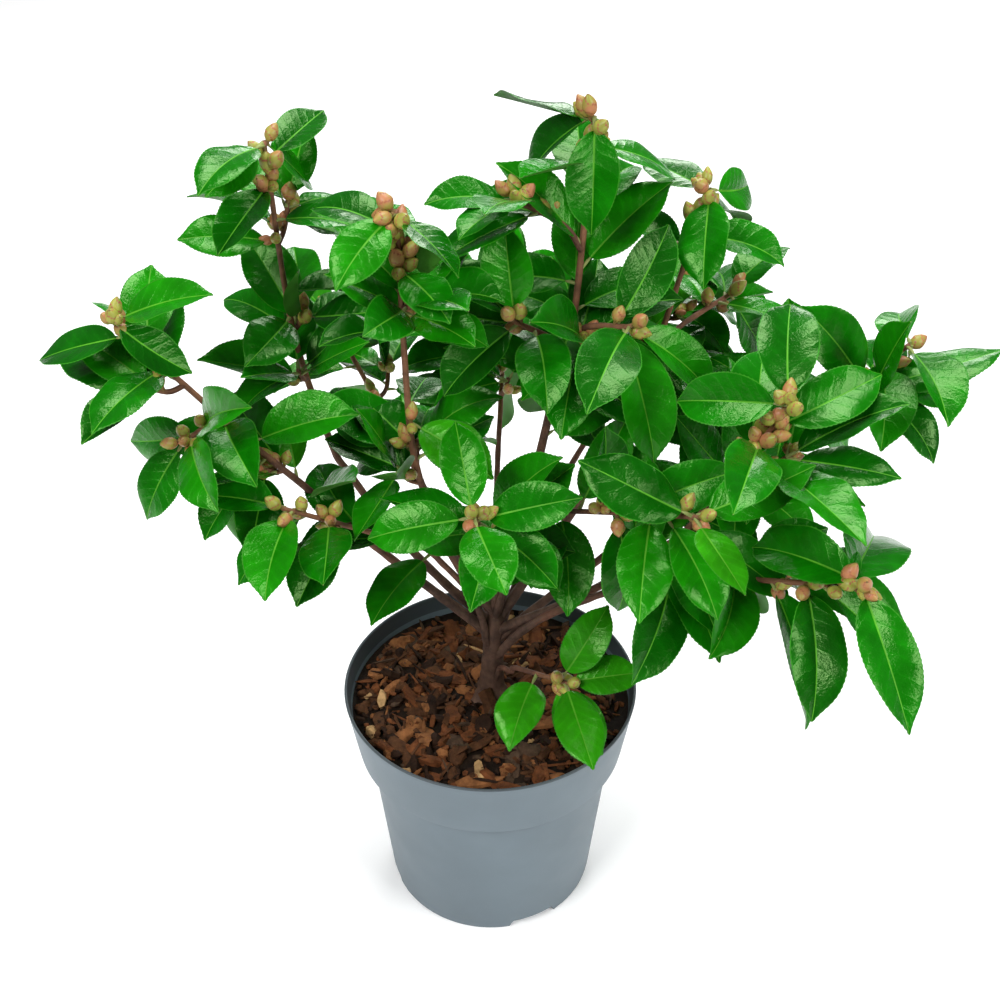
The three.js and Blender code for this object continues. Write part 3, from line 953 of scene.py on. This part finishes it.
def leafy_stem(mass, stem, low, high, foliage, buds, crowd, draw):
    """Leaves by the golden angle, with buds in some axils and a cluster at the tip."""
    settings = mass.settings
    at_tip = high >= stem.length - MM
    count = max(3, round((high - low) / INTERNODE))
    turn = draw.uniform(0, 2 * math.pi)
    for i in range(count):
        share = (i + 0.5) / count
        s = min(low + (high - low) * share + draw.normal(0, 1.2 * MM), stem.length - 1.5 * MM)
        turn += GOLDEN
        last = LEAN_TIP if at_tip else LEAN_THROUGH
        lean = math.radians(np.interp(share, [0, 1], [LEAN_ROOT, last]))
        score, rings = place_leaf(mass, stem, s, turn, lean, 1.0, crowd, draw)
        if score > TOO_TIGHT:
            continue
        foliage.add(rings, pick_blade(settings, draw))
        if draw.uniform() < settings["buds"]:
            _, out = stem_axes(stem, s, turn)
            add_cluster(buds, stem, s, out, int(draw.integers(1, 4)), draw)
    if not at_tip:
        return
    for lean in TIP_LEANS:
        turn += GOLDEN
        s = stem.length - 2 * MM
        score, rings = place_leaf(mass, stem, s, turn, lean, TIP_SIZE, crowd, draw)
        if score < TOO_TIGHT:
            foliage.add(rings, pick_blade(settings, draw))


def leaf_slots(mass, stem, twigs):
    """At most how many leaves a mass can bear."""
    low, high = leafy_span(mass, stem)
    spans = [high - low] + [(1 - TWIG_START) * t.length for t in twigs]
    return mass.settings["cover"] + sum(max(3, round(span / INTERNODE)) + 2 for span in spans)


def grow_mass(mass, stem, twigs, foliage, buds, crowd):
    """All that one mass bears."""
    draw = np.random.default_rng(mass.settings["seed"])
    low, high = leafy_span(mass, stem)
    if high >= stem.length - MM:
        end_buds(buds, stem, mass.settings["end"], crowd, draw)
    leafy_stem(mass, stem, low, high, foliage, buds, crowd, draw)
    for twig in twigs:
        if draw.uniform() < mass.settings["buds"]:
            end_buds(buds, twig, 2, crowd, draw)
        start = TWIG_START * twig.length
        leafy_stem(mass, twig, start, twig.length, foliage, buds, crowd, draw)
    cover_limb(mass, stem, low, foliage, crowd, draw)


def add_cluster(buds, stem, s, out, count, draw):
    """A few buds that spread from a leaf's axil."""
    tangent = stem.tangent(min(s, stem.length - 2 * MM))
    axis = unit(tangent * 0.8 + out + LIGHT * 0.3)
    side = across(np.array([0.2, 0.9, 0.4]), axis)
    other = np.cross(axis, side)
    foot = stem.at(s) + out * stem.radius(s) * 0.8
    turn = draw.uniform(0, 2 * math.pi)
    for _ in range(count):
        turn += 2 * math.pi / count + draw.normal(0, 0.15)
        spread = draw.uniform(0.5, 0.75) if count > 1 else 0.1
        ahead = unit(axis + math.tan(spread) * (side * math.cos(turn) + other * math.sin(turn)))
        add_bud(buds, foot, ahead, draw.uniform(0.72, 0.98), draw)


def end_buds(buds, stem, count, crowd, draw):
    """Buds one after another round the last of a twig, and one at its tip."""
    turn = draw.uniform(0, 2 * math.pi)
    for k in range(count):
        s = stem.length - BUD_SPACING * k - 0.5 * MM
        turn += GOLDEN
        tangent, out = stem_axes(stem, s, turn)
        lean = 0.15 if k == 0 else draw.uniform(0.75, 1.0)
        ahead = unit(tangent * math.cos(lean) + out * math.sin(lean) + LIGHT * 0.25)
        foot = stem.at(s) + out * stem.radius(s) * 0.7 * (k > 0)
        add_bud(buds, foot, ahead, draw.uniform(0.85, 1.05), draw)
        crowd.add(foot + ahead * np.array([[5 * MM], [10 * MM], [14 * MM]]))


# ---- Wood ------------------------------------------------------------------------------

BARK_STEP = 1.8 * MM  # between the rows of points along a stem
BARK_DEPTH = 0.07  # of the ridges, as a share of the radius
BOUGH_RING, TWIG_RING = 14, 10


def bark_relief(seed):
    """Long shallow ridges that wander round a stem, with rings of swelling along it."""
    def relief(s, angle):
        wander = ripple(s / (9 * MM), seed)
        broad = ripple(angle * 2 + wander, seed + 1)
        fine = ripple(angle * 3 - s / (6 * MM), seed + 2)
        ridges = broad * 0.6 + fine * 0.4
        rings = ripple(s / (3.2 * MM), seed + 3)
        return 1 + BARK_DEPTH * (ridges * 0.7 + rings * 0.5)
    return relief


def add_stem(batch, stem, ring, seed, slots):
    """A tube along a stem. slots are (arc, material slot) pairs from root to tip."""
    points, s = tube(stem, BARK_STEP, ring, bark_relief(seed))
    middles = (s[:-1] + s[1:]) / 2
    edge = 3 * MM * ripple(np.arange(ring) * 1.3, seed + 5)
    where = middles[:, None] + edge[None, :]
    kinds = np.full(where.shape, slots[0][1])
    for arc, kind in slots[1:]:
        kinds[where > arc] = kind
    batch.add_tube(points, kinds.ravel(), slots[-1][1])


def add_trunk(batch, slot):
    """The trunk, with a flared foot that spreads into the compost."""
    radius = (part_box("trunk")[1].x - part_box("trunk")[0].x) / 2
    shaft = 0.52 * radius
    rows = 40
    ring = 28
    t = np.linspace(0, 1, rows)[:, None]
    angle = round_turn(ring)[None, :]
    flare = np.exp(-t * 9) * (1 + 0.28 * np.cos(3 * angle + 0.7) + 0.14 * np.cos(5 * angle))
    r = shaft * (1.05 - 0.2 * t) + (radius - shaft) * 0.9 * flare
    r = r * (1 + 0.05 * ripple(angle * 4 + 3 * t, 91) + 0.03 * ripple(t * 60, 92))
    r = r * np.where(t > 0.93, 1 - (t - 0.93) * 5, 1)
    centre = TRUNK_FOOT + (TRUNK_FORK + UP * MM - TRUNK_FOOT) * t
    points = np.stack([r * np.cos(angle), r * np.sin(angle), 0 * r], -1) + centre[:, None]
    batch.add_tube(points, slot, slot)


# ---- Pot, soil and bark chips ----------------------------------------------------------

POT_SIDES = 168


def arc_points(centre, radius, start, end, count=5):
    turn = np.radians(np.linspace(start, end, count))
    return [(centre[0] + radius * math.cos(a), centre[1] + radius * math.sin(a)) for a in turn]


def pot_sizes():
    """The pot's radii and heights, from the outline of its CAD solid."""
    co = vertices_of("pot")
    r = np.hypot(co[:, 0], co[:, 1])
    height = co[:, 2].max()
    outer = {}
    for z in np.unique(np.round(co[:, 2], 5)):
        outer[z] = r[np.abs(co[:, 2] - z) < 0.02 * MM].max()
    inner_lip = r[co[:, 2] > height - 0.1 * MM].min()
    band = min(z for z in outer if z > 0.3 * height)
    around = np.abs(co[:, 2] - band) < 0.1 * MM
    return {
        "height": height,
        "rim": outer[max(outer)],
        "inner_lip": inner_lip,
        "band": band,
        "band_foot": r[around].max(),
        "body": r[around & (r < r[around].max() - 2 * MM)].max(),
        "base": r[co[:, 2] < 0.1 * MM].max(),
    }


def pot_profile(p):
    """The pot's outline from the middle of its underside, out, up, and down its inside."""
    wall = p["rim"] - p["inner_lip"]
    base, band, top = p["base"], p["band"], p["height"]
    low_ledge = p["band_foot"] - 0.8 * MM
    flat = (0.0, 0.35 * base, 0.7 * base, base - 10 * MM, base - 9 * MM, base - 5 * MM)
    outline = [(r, 0.0) for r in flat]
    outline += arc_points((base - 1.2 * MM, 1.2 * MM), 1.2 * MM, -90, 0)
    for share in (0.04, 0.055, 0.07, 0.1, 0.25, 0.4, 0.55, 0.7, 0.85, 0.95):
        outline.append((base + (p["body"] - base) * share, band * share))
    outline += arc_points((p["body"] + 0.8 * MM, band - 0.8 * MM), 0.8 * MM, 180, 90)
    outline += arc_points((low_ledge, band + 0.8 * MM), 0.8 * MM, -90, 0)
    for share in (0.15, 0.35, 0.55, 0.75, 0.9):
        outline.append((p["band_foot"] + (p["rim"] - p["band_foot"]) * share,
                        band + (top - band) * share))
    lip = wall / 2
    outline += arc_points((p["rim"] - lip, top - lip), lip, 0, 180, 9)
    for inset, drop in ((1.4, 9), (2.6, 18), (3.4, 24)):
        outline.append((p["inner_lip"] - inset * MM, top - drop * MM))
    outline.append((0.0, top - 24 * MM))
    return np.array(outline)


def notch_headings():
    """The headings of the drainage openings, from the gaps in the CAD underside."""
    co = vertices_of("pot")
    low = co[co[:, 2] < 0.1 * MM]
    r = np.hypot(low[:, 0], low[:, 1])
    cut = low[(r > 0.02) & (r < r.max() - 6 * MM)]
    headings = np.sort(np.arctan2(cut[:, 1], cut[:, 0]))
    groups = []
    for h in headings:
        if not groups or h - groups[-1][-1] > 0.6:
            groups.append([h])
        else:
            groups[-1].append(h)
    return [sum(g) / len(g) for g in groups]


NOTCH = {"half_angle": math.radians(13.5), "height": 5 * MM, "depth": 9 * MM}


# rim: a darker copy of the body's plastic, which paints shade onto the rounded lip
def make_pot(body, rim):
    p = pot_sizes()
    profile = pot_profile(p)
    angle = round_turn(POT_SIDES)
    r, z = profile[:, :1], profile[:, 1:]
    z = np.broadcast_to(z, (len(profile), POT_SIDES)).copy()
    notched = np.zeros(POT_SIDES)
    for heading in notch_headings():
        off = np.abs((angle - heading + math.pi) % (2 * math.pi) - math.pi)
        notched = np.maximum(notched, np.clip((NOTCH["half_angle"] - off) / 0.03, 0, 1))
    foot_zone = (profile[:, 0] >= p["base"] - NOTCH["depth"] - 0.1 * MM) & (profile[:, 1] < 5.2 * MM)
    roof = z[foot_zone] * 0.04 + NOTCH["height"]
    z[foot_zone] = z[foot_zone] * (1 - notched) + np.maximum(roof, z[foot_zone]) * notched
    r = np.maximum(r, 0.02 * MM)
    points = np.stack([r * np.cos(angle), r * np.sin(angle), z], -1)
    batch = Batch([body, rim])
    # The rounded lip takes the darker rim material: painted shade of the dark inner rim, not a
    # colour of the plastic.
    lip = (profile[:-1, 1] > p["height"] - 1.7 * MM)
    kinds = np.repeat(lip.astype(int), POT_SIDES)
    batch.add_tube(points, kinds, 0)
    return batch.piece("pot_shell", 35)


def soil_height(x, y):
    """The compost's surface: lumpy, a little higher round the stem."""
    lump = 0
    draw = np.random.default_rng(5)
    for scale, size in ((22, 0.9), (9, 0.7), (4, 0.5)):
        for _ in range(3):
            way = draw.normal(0, 1, 2)
            way = way / np.linalg.norm(way) / (scale * MM)
            lump = lump + size * np.sin(x * way[0] + y * way[1] + draw.uniform(0, 6.28)) / 3
    rise = 2.5 * MM * np.exp(-(x**2 + y**2) / 0.03**2)
    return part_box("soil")[1].z - 2.2 * MM + lump * MM + rise


def soil_radius():
    return pot_sizes()["inner_lip"] - 1.6 * MM


def make_soil(material):
    """The dark compost under the chips, closed below."""
    rings, ring = 40, 120
    radius = np.concatenate([[0.05 * MM], np.linspace(1 * MM, soil_radius(), rings)])
    angle = round_turn(ring)
    x = radius[:, None] * np.cos(angle)
    y = radius[:, None] * np.sin(angle)
    surface = np.stack([x, y, soil_height(x, y)], -1)
    skirt = surface[-1:].copy()
    skirt[..., 2] -= 8 * MM
    skirt[..., :2] *= 0.985
    points = np.concatenate([skirt, surface[::-1]])
    batch = Batch([material])
    batch.add_tube(points, 0, 0)
    return batch.piece("compost", 60)


def chip_shape(draw, rows=5, ring=7):
    """A broken flake of bark: a rough box-like lump, longest along X, flattened along Z."""
    t = np.linspace(0, 1, rows)
    x = (t - 0.5) * (1 + 0.15 * draw.normal())
    angle = round_turn(ring) + draw.uniform(0, 1)
    ends = [draw.uniform(0.3, 0.8), 1, draw.uniform(0.7, 1), draw.uniform(0.2, 0.8)]
    girth = np.interp(t, [0, 0.12, 0.88, 1], ends)
    boxy = 1 / np.maximum(np.abs(np.cos(angle)), np.abs(np.sin(angle))) ** 0.7
    r = girth[:, None] * boxy * (1 + 0.16 * draw.normal(size=(rows, ring)))
    y = r * np.cos(angle) * 0.5 + 0.18 * draw.normal() * (t[:, None] - 0.5)
    z = r * np.sin(angle) * 0.5 + 0.25 * draw.normal() * (t[:, None] - 0.5) ** 2
    x = np.broadcast_to(x[:, None], y.shape) + 0.05 * draw.normal(size=y.shape)
    return np.stack([x, y, z], -1)


def spun(points, draw, tilt):
    """points turned by any heading and a small tilt."""
    a = draw.uniform(0, 2 * math.pi)
    b, c = draw.normal(0, tilt, 2)
    about_z = np.array([[math.cos(a), -math.sin(a), 0], [math.sin(a), math.cos(a), 0], [0, 0, 1]])
    about_x = np.array([[1, 0, 0], [0, math.cos(b), -math.sin(b)], [0, math.sin(b), math.cos(b)]])
    about_y = np.array([[math.cos(c), 0, math.sin(c)], [0, 1, 0], [-math.sin(c), 0, math.cos(c)]])
    return points @ (about_z @ about_x @ about_y).T


CHIP_TILT = 0.36
TRUNK_CLEAR = 9 * MM  # no chip lies nearer to the middle than this
# kind: how many, length, width and thickness in mm, how far they lie above the compost
CHIPS = {
    "slab": (95, (12, 23), (6, 11), (2.6, 5.0), 2.0),
    "chunk": (270, (6, 12), (4, 8), (3.0, 5.5), 2.6),
    "crumb": (560, (2.5, 5.5), (2, 4), (1.6, 3.0), 2.6),
    "sliver": (190, (8, 19), (1.0, 2.2), (0.8, 1.4), 4.2),
}


def make_chips():
    draw = np.random.default_rng(77)
    batch = Batch([chip_material(name, color) for name, (color, _) in CHIP_COLORS.items()])
    weights = [share for _, share in CHIP_COLORS.values()]
    for count, lengths, widths, depths, lift in CHIPS.values():
        for _ in range(count):
            size = np.array([draw.uniform(*span) for span in (lengths, widths, depths)]) * MM
            reach = soil_radius() - 0.5 * size[0] - 0.6 * MM
            r = reach * math.sqrt(draw.uniform(0, 1))
            a = draw.uniform(0, 2 * math.pi)
            x, y = r * math.cos(a), r * math.sin(a)
            if r < TRUNK_CLEAR:
                continue
            points = spun(chip_shape(draw) * size, draw, CHIP_TILT)
            z = soil_height(x, y) + draw.uniform(-0.3, 1.0) * lift * MM
            slot = draw.choice(len(weights), p=weights)
            batch.add_tube(points + np.array([x, y, z]), slot, slot)
    return batch.piece("bark_chips", 32)


# ---- Stage, light and camera -----------------------------------------------------------

LOOK_AT = Vector((5 * MM, 0, 245 * MM))
CAMERA_DISTANCE = 648 * MM
CAMERA_ELEVATION = math.radians(36)
LAMP_AIM = Vector((0, 0, 0.25))
FLOOR_HALF = 6.0


def make_stage():
    mesh = bpy.data.meshes.new("floor")
    corners = [(x * FLOOR_HALF, y * FLOOR_HALF, 0) for x, y in ((-1, -1), (1, -1), (1, 1), (-1, 1))]
    mesh.from_pydata(corners, [], [(0, 1, 2, 3)])
    nodes = Nodes("floor_paint", (0.93, 0.93, 0.93), 0.9, Specular_IOR_Level=0.1)
    nodes.shader.inputs["Emission Color"].default_value = (1, 1, 1, 1)
    nodes.shader.inputs["Emission Strength"].default_value = 0.14
    mesh.materials.append(nodes.material)
    new_object("floor", mesh)


def softbox(name, place, size, power):
    data = bpy.data.lights.new(name, "AREA")
    data.shape = "SQUARE"
    data.size = size
    data.energy = power
    lamp = new_object(name, data)
    lamp.location = place
    lamp.rotation_euler = (LAMP_AIM - Vector(place)).to_track_quat("-Z", "Y").to_euler()


def make_lights():
    world = bpy.data.worlds.new("studio")
    world.use_nodes = True
    background = world.node_tree.nodes["Background"]
    background.inputs["Color"].default_value = (1, 1, 1, 1)
    background.inputs["Strength"].default_value = 0.14
    bpy.context.scene.world = world
    softbox("key", (-1.0, -1.1, 1.7), 0.9, 34)
    softbox("fill", (1.3, -0.9, 1.2), 0.8, 20)
    softbox("top", (0.1, 0.5, 1.9), 0.9, 30)
    softbox("rear", (0.3, 2.0, 1.2), 0.8, 16)


def make_camera():
    data = bpy.data.cameras.new("camera")
    data.lens = 50
    data.sensor_width = 36
    camera = new_object("camera", data)
    back = Vector((0, -math.cos(CAMERA_ELEVATION), math.sin(CAMERA_ELEVATION)))
    camera.location = LOOK_AT + back * CAMERA_DISTANCE
    camera.rotation_euler = (-back).to_track_quat("-Z", "Y").to_euler()
    bpy.context.scene.camera = camera
    bpy.context.scene.view_settings.view_transform = "Standard"


# ---- Assembly --------------------------------------------------------------------------


def keep(piece, slot, *nodes):
    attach(piece, "root")
    if nodes:
        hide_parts(*nodes)


def make_plant():
    leaf_materials = {name: blade_material(name, c) for name, c in BLADES.items()}
    leaf_materials.update({name: dull_leaf_material(name, c) for name, c in OTHER_LEAF.items()})
    foliage = Foliage(leaf_materials)
    bark = [bark_material(name, *looks) for name, looks in BARKS.items()]
    wood = Batch(bark)
    twigs = Batch(bark)
    growth = []
    buds = Batch([bud_material(name, *looks) for name, looks in BUD_PARTS.items()])
    add_trunk(wood, 0)
    stems = grow_boughs()
    for k, (bough, stem) in enumerate(stems.items()):
        shades = [(0, 0), (0.45 * stem.bare, 1), (stem.bare + 20 * MM, 2)]
        add_stem(wood, stem, BOUGH_RING, 10 * k, shades)
    for name in MASSES:
        bough = next((b for b in BOUGHS if name in masses_on(b)), None)
        stem = stems[bough] if bough else grow_side_shoot(name, stems)
        mass = Mass(name)
        draw = np.random.default_rng(mass.settings["seed"] + 1000)
        mass_twigs = side_twigs(mass, stem, *leafy_span(mass, stem), draw)
        growth.append((mass, stem, mass_twigs))
        for k, twig in enumerate(mass_twigs + ([] if bough else [stem])):
            shades = [(0, 1), (0.4 * twig.length, 2)]
            seed = 500 + 10 * MASSES.index(name) + k
            add_stem(twigs, twig, TWIG_RING, seed, shades)
    crowd = Crowd()
    for stem in list(stems.values()) + [t for _, _, ts in growth for t in ts]:
        crowd.add(stem.line[::2])
    for mass, stem, mass_twigs in growth:
        slots = leaf_slots(mass, stem, mass_twigs)
        foliage.start_mass(mass.name, slots)
        grow_mass(mass, stem, mass_twigs, foliage, buds, crowd)
    keep(wood.piece("bough_bark"), "bark", "trunk", *["bough_" + b for b in BOUGHS])
    keep(twigs.piece("side_twigs"), "bark")
    keep(buds.piece("flower_buds", 40), "foliage")
    for k, (batch, masses) in enumerate(zip(foliage.batches, foliage.masses)):
        piece = batch.piece(f"leaf_sprays_{k + 1}", 50)
        keep(piece, "foliage", *["leaves_" + m for m in masses])


def make_potful():
    # The pot's plastic, and a darker copy of it that paints shade onto the rounded lip.
    pot = make_pot(pot_material("pot_plastic", (0.136, 0.176, 0.203)),
                   pot_material("pot_lip_painted_shade", (0.06, 0.075, 0.085)))
    keep(pot, "pot", "pot")
    soil = make_soil(chip_material("compost_dark", (0.012, 0.006, 0.003)))
    keep(soil, "soil", "soil")
    keep(make_chips(), "soil")


make_camera()
make_lights()
make_stage()
make_plant()
make_potful()
